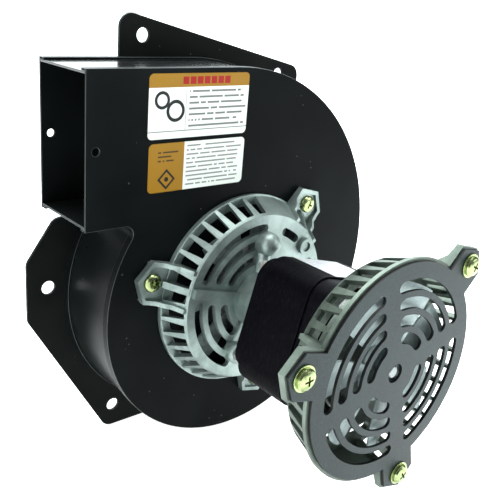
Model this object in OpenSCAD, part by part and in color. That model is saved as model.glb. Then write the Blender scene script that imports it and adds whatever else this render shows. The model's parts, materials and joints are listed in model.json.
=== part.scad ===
// Combustion fan: a scroll blower with its motor on the side away from the inlet.
// +Z is up, and the motor points along -Y. The origin is on the motor axis, in the back face of the
// mounting plate. Every module draws in the plane of the scroll, where X is the row's X, Y is the row's Z,
// and the third direction is the height in front of the mounting face. The module front_view() then turns
// the drawing upright, so a height h ends up at Y = -h.

/* [Scroll] */
// Depth of the scroll over its two plates
scroll_depth = 48.8; // [42:0.2:60]
// Radius of the widest scroll arc
scroll_r_wide = 114.1; // [108:0.1:125]
// Radius of the middle scroll arc
scroll_r_mid = 94.8; // [90:0.1:104]
// Radius of the tightest scroll arc
scroll_r_tight = 86.7; // [80:0.1:90]
// Centre of the widest arc across the scroll
scroll_cx = -10.8; // [-16:0.1:-6]
// Centre of the widest arc above the motor axis
scroll_cz = 14.8; // [10:0.1:20]
// Distance of the outlet mouth from the motor axis
outlet_reach = 102.4; // [95:0.2:125]
// Height of the outlet above the motor axis, at its lower wall
outlet_low = 50.2; // [40:0.2:60]
// Radius of the cut-off nose under the outlet
nose_r = 5; // [3:0.5:8]
// Sheet thickness of the scroll
sheet = 1.2; // [0.8:0.1:2]
// Width of the turned edge on the scroll plates
lip_w = 3.6; // [2:0.2:8]
// Radius of the hole behind the motor
motor_hole_r = 27; // [26:0.5:36]
// Diameter of the screw holes at the outlet mouth
outlet_hole_d = 4.2; // [3:0.1:6]

/* [Mounting plate] */
// Thickness of the mounting plate
plate_t = 1.6; // [1:0.1:3]
// Corner radius of the mounting plate
plate_corner = 7.5; // [3:0.5:10]
// Diameter of the mounting holes
mount_hole_d = 7.9; // [5:0.1:10]
// Radius of the inlet throat
inlet_r = 50; // [40:0.5:52]
// Length of the inlet throat
inlet_len = 9; // [6:0.5:12]

/* [Wheel] */
// Outer radius of the blower wheel
wheel_r = 70; // [62:0.5:72]
// Width of the blower wheel over its two plates
wheel_w = 31; // [22:0.5:34]
// Radial depth of the wheel blades
blade_depth = 13; // [8:0.5:16]
// Number of wheel blades
blade_count = 32; // [16:1:40]
// Diameter of the shaft
shaft_d = 6.35; // [5:0.05:10]

/* [Motor] */
// Turn of the whole motor about its axis, in degrees
motor_turn = -15; // [-45:1:45]
// Side of the square stator core
core_side = 69; // [66:0.5:76]
// Corner radius of the stator core
core_corner = 12; // [8:0.5:20]
// Length of the stator core
core_len = 32; // [26:0.5:50]
// Radius of the stator bore
bore_r = 19; // [16:0.2:20]
// Radius of the casting's rim
rim_r = 58.2; // [56:0.2:64]
// How far the front casting's slotted face stands inside the rim
face_in = 7.6; // [5:0.2:9]
// How far the rear casting's slotted face stands inside the rim
rear_face_in = 5.6; // [5:0.2:9]
// Height of the front casting from its rim to its slotted face
casting_h = 15.9; // [14:0.1:20]
// Height of the rear casting from its rim to its slotted face
rear_casting_h = 18.4; // [14:0.1:20]
// Distance from the front casting's rim to the core
front_reach = 48.6; // [42:0.2:56]
// Distance from the rear casting's rim to the core
rear_reach = 35.4; // [33:0.2:46]
// Reach of a lug beyond the rim
lug_reach = 18.4; // [14:0.2:24]
// Width of a lug
lug_w = 24; // [20:0.5:28]
// Distance of the lug screws beyond the rim
lug_screw_out = 8.1; // [4:0.1:12]

/* [Rear cover] */
// How far the cover's edge stands inside the rim
cover_in = 1.5; // [0.5:0.1:4]
// Thickness of the rear cover
cover_t = 1.6; // [1:0.1:3]
// Width of the cover slots
cover_slot_w = 6; // [4:0.1:7]
// Distance between two rows of cover slots
cover_slot_step = 9.1; // [8:0.1:11]
// Radius of the innermost row of cover slots
cover_slot_r = 18.3; // [15:0.1:20]
// Half width of the spokes between cover slots
cover_spoke = 4.7; // [3:0.1:6]

/* [Hidden] */
$fn = 72;
far = 400;
eps = 0.02;

// Heights in front of the mounting face, from the inlet to the rear cover.
back_h = plate_t;
wrap_low_h = back_h + sheet;
front_h = back_h + scroll_depth;
wrap_high_h = front_h - sheet;
gasket_t = 0.6;
casting_low_h = front_h + gasket_t;
core_low_h = casting_low_h + front_reach;
core_high_h = core_low_h + core_len;
casting_high_h = core_high_h + rear_reach;
cover_h = casting_high_h + cover_t;

// Running and fitting clearances.
shaft_clear = 0.03;
slip = 0.15;
air_gap = 0.4;

// How far a tighter arc's slice reaches into the wider one beside it, in degrees.
join = 1;

// Scroll outline: three tangent arcs, a flat top, the outlet and a rounded cut-off nose.
turn_wide = -44;
turn_mid = -135;
c_wide = [scroll_cx, scroll_cz];
c_mid = c_wide + (scroll_r_wide - scroll_r_mid) * [cos(turn_wide), sin(turn_wide)];
c_tight = c_mid + (scroll_r_mid - scroll_r_tight) * [cos(turn_mid), sin(turn_mid)];
scroll_top = scroll_cz + scroll_r_wide;
nose_z = outlet_low - nose_r;
nose_x = c_tight[0] - sqrt(pow(scroll_r_tight + nose_r, 2) - pow(nose_z - c_tight[1], 2));
nose = [nose_x, nose_z];
nose_turn = atan2(nose[1] - c_tight[1], nose[0] - c_tight[0]);
outlet_hole = [5.4 - outlet_reach, (outlet_low + scroll_top) / 2 + 0.5];

// Mounting plate: lobes round the scroll, with one hole near each corner of the outline.
plate_left = -(outlet_reach + 9.4);
plate_right = scroll_r_wide + scroll_cx + 21;
plate_low = c_mid[1] - scroll_r_mid - 9;
plate_outline = [
    [-56.6, scroll_top + 24.5], [78, scroll_top - 6.7], [78, scroll_top - 42], [plate_right, 32],
    [plate_right, -14], [72, plate_low], [-61.1, plate_low], [plate_left, -16.3],
    [plate_left, 18.5], [plate_left + 16.9, outlet_low - 7.3], [-56.6, outlet_low - 7.3]];
plate_holes = [
    [-41.8, scroll_top + 11.2], [60.7, scroll_top - 11.2], [plate_right - 11, 9],
    [58, plate_low + 14.6], [-56.2, plate_low + 14.6], [plate_left + 12.8, 2.2]];

// Labels: they share the room between the motor's rim and the top of the scroll.
label_t = 0.2;
label_corner = 2.5;
upper_label_left = -68.4;
upper_label_w = 63.3;
lower_label_left = upper_label_left + 1;
lower_label_w = upper_label_w - 1.2;
label_low = rim_r + 7.8;
label_high = scroll_top - 2.7;
label_gap = 2.2;
upper_label_h = (label_high - label_low - label_gap) * 0.56;
lower_label_h = (label_high - label_low - label_gap) * 0.44;

// Castings and their three lugs.
lug_turns = [180, 60, -60];
lug_tip = rim_r + lug_reach;
lug_screw_r = rim_r + lug_screw_out;
face_r = rim_r - face_in;
cover_r = rim_r - cover_in;
// Middle line of the outermost row of face slots, and the step between rows.
row_out = face_r - 8.6;
row_step = 9;
face_slot_w = 5.4;
face_t = 3;
rim_t = 2;
wall_t = 3.2;
// The windows in the wall are wide at the rim and narrow at the face.
window_wide = 7.9;
window_narrow = 4.8;
window_step = 10;
lug_rise = 1.8;
// The stretch of wall without windows, on each side of the upright.
blank_turn = 85;
blank_half = 11;
hub_r = 17;
// The bells that hold the core: the front one is short and narrow, the rear one deep and wide.
front_bell = [core_side - 7, 7.6];
rear_bell = [core_side - 1.8, 12];
bell_corner = core_corner - 0.9;
bell_wall = 2;
bell_floor = 2;
bolt_r = 2;
bolt_place = core_side / 2 - 9.3;
bearing_r = 7.5;
// Height of the bearing's seat in each casting, measured from the casting's rim.
seat_rise = 2 - face_t;
front_seat_h = casting_h + seat_rise;
rear_seat_h = rear_casting_h + seat_rise;
bearing_len = 10;
pocket_r = 11;
screw_r = 2.1;
cover_boss_h = 4.5;
head_r = 5.2;
head_h = 2.8;
washer_r = 6.3;
washer_t = 0.9;

// Windings.
pole_half = 7.6;
bobbin_t = 0.8;
yoke_t = 6;
coil_low = bore_r + 3.5;
coil_deep = core_side / 2 - coil_low - yoke_t;
coil_wide = 6;
coil_end = 5;
slot_gap = 0.5;
rotor_r = bore_r - air_gap;
ring_h = 3.5;
shade_bar = 2;
shade_x = bore_r + 1.6;
shade_low = 2.6;
shade_high = 9.4;

// Cooling fans.
fan_r = rim_r - 14.2;
fan_h = 7.5;
fan_blades = 7;
fan_turn = 34;
fan_hub_r = 9;

// ---- helpers ----------------------------------------------------------------------------------

// Turns a drawing of the scroll's plane upright: height above the drawing becomes -Y.
module front_view() {
    rotate([90, 0, 0]) children();
}

// The motor's own turn, inside a front_view().
module motor_view() {
    front_view() rotate(motor_turn) children();
}

module tube(outer, inner, h) {
    difference() {
        cylinder(r = outer, h = h);
        translate([0, 0, -1]) cylinder(r = inner, h = h + 2);
    }
}

// A pie slice between two turns, wide enough to cut any circle used here.
module wedge(from, to) {
    steps = ceil(abs(to - from) / 40);
    step = (to - from) / steps;
    rim = [for (i = [0:steps]) far * [cos(from + step * i), sin(from + step * i)]];
    polygon(concat([[0, 0]], rim));
}

// A curved slot with round ends: r is its middle line, from and to its ends' centres. The ends are a
// hair narrower than the slot, so that each one crosses the slot's cut cleanly.
module arc_slot(r, w, from, to) {
    intersection() {
        difference() {
            circle(r + w / 2);
            circle(r - w / 2);
        }
        wedge(from, to);
    }
    for (turn = [from, to]) rotate(turn) translate([r, 0]) circle(w / 2 - eps);
}

// A square with round corners, about its centre.
module round_square(side, corner) {
    flat = side / 2 - corner;
    square([side, 2 * flat], center = true);
    square([2 * flat, side], center = true);
    for (x = [-flat, flat], y = [-flat, flat]) translate([x, y]) circle(corner);
}

// A label with round corners, from its lower left corner.
module round_label(w, h, corner) {
    translate([corner, 0]) square([w - 2 * corner, h]);
    translate([0, corner]) square([w, h - 2 * corner]);
    for (x = [corner, w - corner], y = [corner, h - corner]) translate([x, y]) circle(corner);
}

// ---- scroll -----------------------------------------------------------------------------------

// The scroll's outline, moved inwards by inset.
module scroll_shape(inset, mouth = 0) {
    low = outlet_low + inset;
    top = scroll_top - inset;
    left = -outlet_reach - mouth;
    nose_touch = c_tight + (scroll_r_tight - inset) * [cos(nose_turn), sin(nose_turn)];
    module slice(c, r, from, to) {
        translate(c) intersection() {
            circle(r - inset);
            wedge(from, to);
        }
    }
    difference() {
        union() {
            slice(c_wide, scroll_r_wide, turn_wide, 90);
            slice(c_mid, scroll_r_mid, turn_mid, turn_wide + join);
            slice(c_tight, scroll_r_tight, nose_turn - 360 - join, turn_mid + join);
            polygon([c_wide, [scroll_cx, top], [left, top], [left, low], [nose[0], low], nose_touch,
                c_tight, c_mid]);
        }
        translate(nose) circle(nose_r + inset);
    }
}

module mounting_plate() {
    color("#1c1f1e") front_view() difference() {
        linear_extrude(plate_t) offset(r = plate_corner) offset(delta = -plate_corner)
            polygon(plate_outline);
        translate([0, 0, -1]) cylinder(r = inlet_r + sheet + slip, h = plate_t + 2);
        for (p = plate_holes) translate([p[0], p[1], -1]) cylinder(d = mount_hole_d, h = plate_t + 2);
    }
}

// A flat scroll plate with a turned edge that laps over the wrapper. The edge points to +h.
module scroll_plate(hole_r) {
    difference() {
        linear_extrude(sheet + lip_w) scroll_shape(0);
        translate([0, 0, sheet]) linear_extrude(lip_w + 1) scroll_shape(sheet + slip / 3, mouth = 1);
        translate([0, 0, -1]) cylinder(r = hole_r, h = sheet + 2);
        translate([outlet_hole[0], outlet_hole[1], -1]) cylinder(d = outlet_hole_d, h = sheet + 2);
    }
}

module scroll_back_plate() {
    color("#202423") front_view() translate([0, 0, back_h]) scroll_plate(inlet_r + sheet + slip);
}

module scroll_front_plate() {
    color("#232726") front_view() difference() {
        translate([0, 0, front_h]) mirror([0, 0, 1]) scroll_plate(motor_hole_r);
        for (turn = lug_turns) rotate(turn + motor_turn) translate([lug_screw_r, 0, wrap_high_h - 1])
            cylinder(r = screw_r + slip, h = sheet + 2);
    }
}

module scroll_wrapper() {
    wrap = sheet + slip / 3 + 0.05;
    color("#1a1d1c") front_view() translate([0, 0, wrap_low_h]) linear_extrude(wrap_high_h - wrap_low_h)
        difference() {
            scroll_shape(wrap);
            scroll_shape(wrap + sheet, mouth = 1);
        }
}

// Inlet throat with a flange against the inside of the back plate.
module inlet_ring() {
    color("#8c9090") front_view() difference() {
        union() {
            cylinder(r = inlet_r + sheet, h = inlet_len);
            translate([0, 0, wrap_low_h]) cylinder(r = inlet_r + 7, h = sheet);
        }
        translate([0, 0, -1]) cylinder(r = inlet_r, h = inlet_len + 2);
    }
}

module motor_gasket() {
    color("#6f675c") front_view() translate([0, 0, front_h]) tube(rim_r - 0.6, rim_r - 6, gasket_t);
    color("#6f675c") motor_view() translate([0, 0, front_h]) for (turn = lug_turns) rotate(turn)
        difference() {
            translate([rim_r - 1, -lug_w / 2 + 1, 0]) cube([lug_tip - rim_r - 5, lug_w - 2, gasket_t]);
            cylinder(r = rim_r - 1.2, h = gasket_t + 1);
            translate([lug_screw_r, 0, -1]) cylinder(r = screw_r + slip, h = gasket_t + 2);
        }
}

module upper_label() {
    color("#d9dccf") front_view() translate([upper_label_left, label_high - upper_label_h, front_h])
        linear_extrude(label_t) round_label(upper_label_w, upper_label_h, label_corner);
}

module lower_label() {
    color("#cf9a30") front_view() translate([lower_label_left, label_low, front_h])
        linear_extrude(label_t) round_label(lower_label_w, lower_label_h, label_corner);
}

// ---- castings ---------------------------------------------------------------------------------

lug_half = lug_w / 2;
lug_bend = lug_tip - 7;
lug_wall = 2.4;

// A lug as a channel: a floor with a pointed end, a wall round it and a rib down its middle. It runs up
// to the casting's face, whose height is high and whose radius is edge_r.
module lug(high, edge_r) {
    wall_top = rim_t + lug_rise;
    face_low = high - face_t + 0.6;
    face_high = high - 0.4;
    outline = [[rim_r - 8, -lug_half], [lug_bend, -lug_half], [lug_tip, 0], [lug_bend, lug_half],
        [rim_r - 8, lug_half]];
    inner = [[rim_r - 9, lug_wall - lug_half], [lug_bend - 1, lug_wall - lug_half],
        [lug_tip - 2.8, 0], [lug_bend - 1, lug_half - lug_wall], [rim_r - 9, lug_half - lug_wall]];
    linear_extrude(rim_t) polygon(outline);
    linear_extrude(wall_top) difference() {
        polygon(outline);
        polygon(inner);
        square([2 * rim_r - 2, far], center = true);
    }
    side = [[edge_r - 4.6, face_low], [rim_r - 7, rim_t - 1], [lug_bend - 2, rim_t - 1],
        [lug_bend - 2, wall_top], [rim_r + 4, wall_top + 0.8], [rim_r, wall_top + 4],
        [rim_r - 3, wall_top + 4.8], [edge_r + 0.6, face_high], [edge_r - 4.6, face_high]];
    for (y = [-lug_half, lug_half - lug_wall]) translate([0, y + lug_wall, 0]) rotate([90, 0, 0])
        linear_extrude(lug_wall) polygon(side);
    spine = [[edge_r - 4, face_low], [rim_r - 6, rim_t - 1], [rim_r + 2, rim_t - 1],
        [rim_r + 2, rim_t + 1.4], [edge_r, face_high], [edge_r - 4, face_high]];
    translate([0, 1.8, 0]) rotate([90, 0, 0]) linear_extrude(3.6) polygon(spine);
}

// The slots of the casting's face, as one half that is mirrored about the first lug.
module face_slots_half() {
    for (row = [[0, 76.5, 10.5], [1, 66, 15], [2, 62, 20]])
        arc_slot(row_out - row[0] * row_step, face_slot_w, 180 - row[2], 180 - row[1]);
    arc_slot(row_out - 0.6, face_slot_w - 0.6, 80, 66);
    for (row = [[0, 10, 36], [1, 12, 34], [2, 16, 30]])
        arc_slot(row_out - row[0] * row_step, face_slot_w, row[1], row[2]);
}

// A round rib on the casting's face, with a domed post at its end. It starts inside the hub.
module domed_rib(high) {
    r = 4.2;
    dome_r = 6.8;
    place = face_r - 17;
    dome_low = high + 3;
    translate([hub_r - 3, 0, high]) rotate([0, 90, 0]) linear_extrude(place - hub_r + 4) intersection() {
        circle(r);
        translate([-2 * r, -r]) square([2 * r + 1, 2 * r]);
    }
    translate([place, 0, high - 1]) cylinder(r = dome_r, h = dome_low - high + 1);
    translate([place, 0, dome_low]) intersection() {
        sphere(r = dome_r);
        translate([0, 0, dome_r]) cube([4 * dome_r, 4 * dome_r, 2 * dome_r + 2], center = true);
    }
}

// The rim, the sloping wall and the face of a casting, turned in one piece.
module casting_shell(high, edge_r) {
    face_low = high - face_t;
    rotate_extrude() polygon([[rim_r - 6, 0], [rim_r, 0], [rim_r, rim_t], [rim_r - 0.8, rim_t],
        [edge_r, high - 1], [edge_r - 0.8, high], [0, high], [0, face_low],
        [edge_r - wall_t + 1, face_low], [rim_r - 1 - wall_t, rim_t], [rim_r - 6, rim_t]]);
}

// The windows in the sloping wall, all but those beside the upright.
module wall_windows(high, edge_r) {
    low = rim_t + 0.3;
    top = high - 1.5;
    window = [[-window_wide / 2, low], [window_wide / 2, low],
        [window_narrow / 2, top], [-window_narrow / 2, top]];
    for (turn = [window_step / 2 - 180:window_step:180]) if (abs(abs(turn) - blank_turn) > blank_half)
        rotate(turn) translate([edge_r - 3.4, 0, 0]) rotate([90, 0, 90]) linear_extrude(16) polygon(window);
}

// One end casting, rim down, with its core seat at height reach. The bell is given by its side and height.
module casting(high, edge_r, reach, bell, boss_h, domes) {
    bell_low = reach - bell[1];
    face_low = high - face_t;
    difference() {
        union() {
            difference() {
                casting_shell(high, edge_r);
                wall_windows(high, edge_r);
                translate([0, 0, face_low - 1]) linear_extrude(face_t + 2) {
                    face_slots_half();
                    mirror([0, 1]) face_slots_half();
                }
            }
            for (turn = lug_turns) rotate(turn) {
                lug(high, edge_r);
                if (boss_h > 0) translate([lug_screw_r, 0, 0.5])
                    cylinder(r = screw_r + 3, h = rim_t + boss_h - 0.5);
            }
            // Raised ribs on the face: one to the first lug, and two round ribs with domed ends.
            translate([-face_r + 2, -2.6, high - 1]) cube([face_r - hub_r + 2, 5.2, 3.8]);
            if (domes) for (turn = [101, -101]) rotate(turn) domed_rib(high);
            for (turn = [52.6, -52.6]) rotate(turn) translate([row_out + 1, 0, high - 1]) {
                tube(5, 3, 3.4);
                cylinder(r = 3.1, h = 2.2);
            }
            translate([0, 0, face_low + 1]) cylinder(r = hub_r, h = bell_low - face_low);
            translate([0, 0, bell_low]) linear_extrude(bell[1]) round_square(bell[0], bell_corner);
        }
        // Room inside the bell, the bearing pocket, the shaft's way through and the bolt holes.
        translate([0, 0, bell_low + bell_floor]) linear_extrude(bell[1]) difference() {
            round_square(bell[0] - 2 * bell_wall, bell_corner - bell_wall);
            for (x = [-1, 1], y = [-1, 1]) translate(bolt_place * [x, y]) circle(bolt_r + 3.4);
        }
        translate([0, 0, high + seat_rise]) cylinder(r = pocket_r, h = reach - high - seat_rise + 1);
        translate([0, 0, -1]) cylinder(r = bearing_r - 1.5, h = reach);
        for (x = [-1, 1], y = [-1, 1]) translate([bolt_place * x, bolt_place * y, bell_low - 1])
            cylinder(r = bolt_r + slip, h = bell[1] + 2);
        for (turn = lug_turns) rotate(turn) translate([lug_screw_r, 0, -1])
            cylinder(r = screw_r + slip, h = rim_t + boss_h + 2);
    }
}

module front_casting() {
    color("#9aa39c") motor_view() translate([0, 0, casting_low_h])
        casting(casting_h, face_r, front_reach, front_bell, 0, true);
}

module rear_casting() {
    color("#8f9891") motor_view() translate([0, 0, casting_high_h]) mirror([0, 0, 1])
        casting(rear_casting_h, rim_r - rear_face_in, rear_reach, rear_bell, cover_boss_h, false);
}

// A pan head screw with a cross recess, head up, its seat at height 0.
module cross_screw(shank_len) {
    difference() {
        rotate_extrude() polygon([[0, 0], [head_r, 0], [head_r, head_h * 0.35],
            [head_r * 0.86, head_h * 0.72], [head_r * 0.55, head_h * 0.94], [0, head_h]]);
        for (turn = [0, 90]) rotate(turn + 20) translate([-2.4, -0.5, head_h - 1.5]) cube([4.8, 1, 3]);
    }
    translate([0, 0, -shank_len]) cylinder(r = screw_r, h = shank_len + 0.3 * head_h);
}

module front_casting_screws() {
    color("#cfc98f") motor_view() for (turn = lug_turns) rotate(turn)
        translate([lug_screw_r, 0, casting_low_h + rim_t]) cross_screw(rim_t + gasket_t + sheet + 4);
}

// ---- rear cover -------------------------------------------------------------------------------

module rear_cover() {
    spoke_turns = [30, 120, 210, 300];
    color("#5f6866") motor_view() translate([0, 0, casting_high_h]) difference() {
        linear_extrude(cover_t) difference() {
            union() {
                circle(cover_r);
                for (turn = lug_turns) rotate(turn) polygon([
                    [40, 1 - lug_half], [lug_bend - 1, 1 - lug_half], [lug_tip - 1, 0],
                    [lug_bend - 1, lug_half - 1], [40, lug_half - 1]]);
            }
            for (row = [0:3], turn = spoke_turns) {
                r = cover_slot_r + row * cover_slot_step;
                cut = asin((cover_spoke + cover_slot_w / 2) / r);
                arc_slot(r, cover_slot_w, turn + cut, turn + 90 - cut);
            }
        }
        translate([0, 0, -1]) cylinder(r = shaft_d / 2 + 1.8, h = cover_t + 2);
        for (turn = lug_turns) rotate(turn) translate([lug_screw_r, 0, -1])
            cylinder(r = screw_r + slip, h = cover_t + 2);
    }
}

module rear_cover_washers() {
    color("#cfc98f") motor_view() for (turn = lug_turns) rotate(turn)
        translate([lug_screw_r, 0, cover_h]) tube(washer_r, screw_r + slip, washer_t);
}

module rear_cover_screws() {
    color("#d8d29a") motor_view() for (turn = lug_turns) rotate(turn)
        translate([lug_screw_r, 0, cover_h + washer_t])
            cross_screw(washer_t + cover_t + rim_t + cover_boss_h - 0.5);
}

// ---- stator -----------------------------------------------------------------------------------

module stator_core() {
    window_low = coil_low - slot_gap;
    window_deep = coil_deep + 2 * slot_gap;
    window_half = pole_half + bobbin_t + coil_wide + 2 * slot_gap;
    color("#1e2020") motor_view() translate([0, 0, core_low_h]) linear_extrude(core_len) difference() {
        round_square(core_side, core_corner);
        circle(bore_r);
        for (turn = [0:90:270]) rotate(turn) {
            for (y = [pole_half, -window_half]) translate([window_low, y])
                square([window_deep, window_half - pole_half]);
            for (y = [shade_low, shade_high]) translate([shade_x, y])
                square(shade_bar + 0.2, center = true);
        }
        for (x = [-1, 1], y = [-1, 1]) translate(bolt_place * [x, y]) circle(bolt_r + slip);
    }
}

// Sleeves round the poles, which keep the wire off the iron.
module coil_bobbins() {
    inner = [2 * pole_half + 0.2, core_len + 0.2];
    outer = [2 * (pole_half + bobbin_t), core_len + 2 * bobbin_t];
    color("#d8d3c2") motor_view() translate([0, 0, (core_low_h + core_high_h) / 2])
        for (turn = [0:90:270]) rotate(turn) translate([coil_low, 0, 0]) rotate([0, 90, 0])
            linear_extrude(coil_deep) rotate(90) difference() {
                square(outer, center = true);
                square(inner, center = true);
            }
}

module coil_windings() {
    hole = [2 * (pole_half + bobbin_t) + 0.1, core_len + 2 * bobbin_t + 0.1];
    reach = core_len / 2 + coil_end;
    side = pole_half + bobbin_t + coil_wide;
    corner = coil_wide - 1;
    color("#b5672f") motor_view() translate([0, 0, (core_low_h + core_high_h) / 2])
        for (turn = [0:90:270]) rotate(turn) translate([coil_low, 0, 0]) rotate([0, 90, 0])
            linear_extrude(coil_deep) rotate(90) difference() {
                union() {
                    square([2 * side, 2 * (reach - corner)], center = true);
                    square([2 * (side - corner), 2 * reach], center = true);
                    for (x = [corner - side, side - corner], y = [corner - reach, reach - corner])
                        translate([x, y]) circle(corner);
                }
                square(hole, center = true);
            }
}

// One copper loop round the tip of each pole.
module shading_rings() {
    color("#c9773a") motor_view() for (turn = [0:90:270]) rotate(turn) translate([shade_x, 0, 0]) {
        for (y = [shade_low, shade_high])
            translate([-shade_bar / 2, y - shade_bar / 2, core_low_h - shade_bar])
                cube([shade_bar, shade_bar, core_len + 2 * shade_bar]);
        for (h = [core_low_h - shade_bar, core_high_h]) translate([-shade_bar / 2, shade_low, h])
            cube([shade_bar, shade_high - shade_low, shade_bar]);
    }
}

module thermal_protector() {
    side = 5.6;
    place = rotor_r / sqrt(2) + 1.4;
    color("#2f3334") motor_view() translate([place, place, core_high_h + 0.5]) difference() {
        cube([side, side, coil_end - 1]);
        translate([-1, side / 2 - 0.3, coil_end - 1.6]) cube([side + 2, 0.6, 2]);
    }
}

bolt_low_h = core_low_h - front_bell[1];
bolt_high_h = core_high_h + rear_bell[1];

module through_bolts() {
    color("#a8aca8") motor_view() for (x = [-1, 1], y = [-1, 1])
        translate([bolt_place * x, bolt_place * y, bolt_low_h - 5]) {
            cylinder(r = bolt_r, h = bolt_high_h - bolt_low_h + 5 + eps);
            translate([0, 0, bolt_high_h - bolt_low_h + 5]) cylinder(r = 3.6, h = 2.6, $fn = 6);
        }
}

module through_bolt_nuts() {
    color("#b8bcb8") motor_view() for (x = [-1, 1], y = [-1, 1])
        translate([bolt_place * x, bolt_place * y, bolt_low_h - 3.2]) difference() {
            cylinder(r = 3.9, h = 3.2, $fn = 6);
            translate([0, 0, -1]) cylinder(r = bolt_r + 0.02, h = 6);
        }
}

// Foil plate on the flat upper side of the core.
module nameplate() {
    half = core_side / 2 - core_corner - 5;
    color("#d5d9da") motor_view() translate([-half, core_side / 2, core_low_h + 1])
        cube([2 * half, 0.25, core_len - 2]);
}

// ---- bearings ---------------------------------------------------------------------------------

module sleeve_bearing() {
    middle = bearing_len / 2;
    difference() {
        rotate_extrude() polygon([[0, 0], [bearing_r - 0.6, 0], [bearing_r, 0.6],
            [bearing_r, middle - 3], [bearing_r + 1, middle - 1.4], [bearing_r + 1, middle + 1.4],
            [bearing_r, middle + 3], [bearing_r, bearing_len - 0.6], [bearing_r - 0.6, bearing_len],
            [0, bearing_len]]);
        translate([0, 0, -1]) cylinder(r = shaft_d / 2 + shaft_clear, h = bearing_len + 2);
    }
}

module in_front_casting() {
    motor_view() translate([0, 0, casting_low_h + front_seat_h]) children();
}

module in_rear_casting() {
    motor_view() translate([0, 0, casting_high_h - rear_seat_h]) mirror([0, 0, 1]) children();
}

module front_bearing() {
    color("#b08a4e") in_front_casting() sleeve_bearing();
}

module rear_bearing() {
    color("#b08a4e") in_rear_casting() sleeve_bearing();
}

module felt_ring() {
    tube(pocket_r - slip, bearing_r + slip, bearing_len / 2 - 3.2);
}

module front_felt() {
    color("#cdbf97") in_front_casting() felt_ring();
}

module rear_felt() {
    color("#cdbf97") in_rear_casting() felt_ring();
}

// A spring washer with eight fingers, pressed over the bearing.
module bearing_retainer() {
    translate([0, 0, bearing_len]) difference() {
        tube(pocket_r - 0.05, bearing_r - 2.2, 0.8);
        for (turn = [0:45:315]) rotate(turn) translate([bearing_r - 3, -0.5, -1]) cube([3.6, 1, 3]);
    }
}

module front_bearing_retainer() {
    color("#c4c8c6") in_front_casting() bearing_retainer();
}

module rear_bearing_retainer() {
    color("#c4c8c6") in_rear_casting() bearing_retainer();
}

// ---- rotor ------------------------------------------------------------------------------------

wheel_high_h = wrap_high_h - 6;
wheel_low_h = wheel_high_h - wheel_w;
hub_low_h = wheel_high_h - sheet - 14;
shaft_low_h = hub_low_h - 4;
shaft_high_h = cover_h - 1;
fan_low_h = casting_low_h + 2;
fan_high_h = casting_high_h - 2;
fit_r = shaft_d / 2 + 0.02;

module shaft() {
    long = shaft_high_h - shaft_low_h;
    color("#c9cdcc") motor_view() translate([0, 0, shaft_low_h]) difference() {
        rotate_extrude() polygon([[0, 0], [shaft_d / 2 - 0.5, 0], [shaft_d / 2, 0.5],
            [shaft_d / 2, long - 0.5], [shaft_d / 2 - 0.5, long], [0, long]]);
        translate([shaft_d / 2 - 0.6, -5, -1]) cube([5, 10, 17]);
    }
}

module rotor_core() {
    color("#6d7172") motor_view() translate([0, 0, core_low_h]) tube(rotor_r, fit_r, core_len);
}

module rotor_end_rings() {
    color("#b9bfc1") motor_view() for (h = [core_low_h - ring_h, core_high_h]) translate([0, 0, h])
        tube(rotor_r - 0.6, rotor_r - 7, ring_h);
}

module thrust_washers() {
    front_top = casting_low_h + front_seat_h + bearing_len + 0.8;
    rear_top = casting_high_h - rear_seat_h - bearing_len - 0.8;
    color("#7a5a3a") motor_view() {
        translate([0, 0, front_top + 0.4]) tube(shaft_d / 2 + 2.6, fit_r, 0.8);
        translate([0, 0, rear_top - 1.2]) tube(shaft_d / 2 + 2.6, fit_r, 0.8);
    }
}

module retaining_rings() {
    front_top = casting_low_h + front_seat_h + bearing_len + 0.8;
    rear_top = casting_high_h - rear_seat_h - bearing_len - 0.8;
    color("#4c5052") motor_view() for (h = [front_top + 1.4, rear_top - 2.2]) translate([0, 0, h])
        difference() {
            tube(shaft_d / 2 + 2, fit_r, 0.8);
            translate([0, -1.4, -1]) cube([9, 2.8, 3]);
        }
}

module wheel_hub() {
    color("#a9afb2") motor_view() difference() {
        union() {
            translate([0, 0, hub_low_h]) cylinder(r = 9.5, h = wheel_high_h - sheet - hub_low_h);
            translate([0, 0, wheel_high_h - sheet - 2.2]) cylinder(r = 17, h = 2.2);
        }
        translate([0, 0, hub_low_h - 1]) cylinder(r = fit_r, h = 30);
        translate([0, 0, hub_low_h + 6]) rotate([0, 90, 0]) cylinder(r = 2.4, h = 12);
        for (turn = [0:90:270]) rotate(turn + 45) translate([13.2, 0, hub_low_h]) cylinder(r = 1.7, h = 30);
    }
}

module wheel_set_screw() {
    color("#5d6163") motor_view() translate([fit_r + 0.05, 0, hub_low_h + 6]) rotate([0, 90, 0])
        difference() {
            cylinder(r = 2.3, h = 6);
            translate([0, 0, 4.4]) cylinder(r = 1.2, h = 3, $fn = 6);
        }
}

module wheel_rivets() {
    color("#c2c6c8") motor_view() for (turn = [0:90:270]) rotate(turn + 45)
        translate([13.2, 0, wheel_high_h - sheet - 2.2]) {
            cylinder(r = 1.6, h = 2.2 + sheet);
            translate([0, 0, 2.2 + sheet]) cylinder(r = 2.8, h = 1);
            translate([0, 0, -1]) cylinder(r = 2.8, h = 1);
        }
}

module wheel_back_plate() {
    color("#9ea4a6") motor_view() translate([0, 0, wheel_high_h - sheet]) difference() {
        tube(wheel_r, fit_r + 0.4, sheet);
        for (turn = [0:90:270]) rotate(turn + 45) translate([13.2, 0, -1]) cylinder(r = 1.7, h = 4);
    }
}

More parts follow.
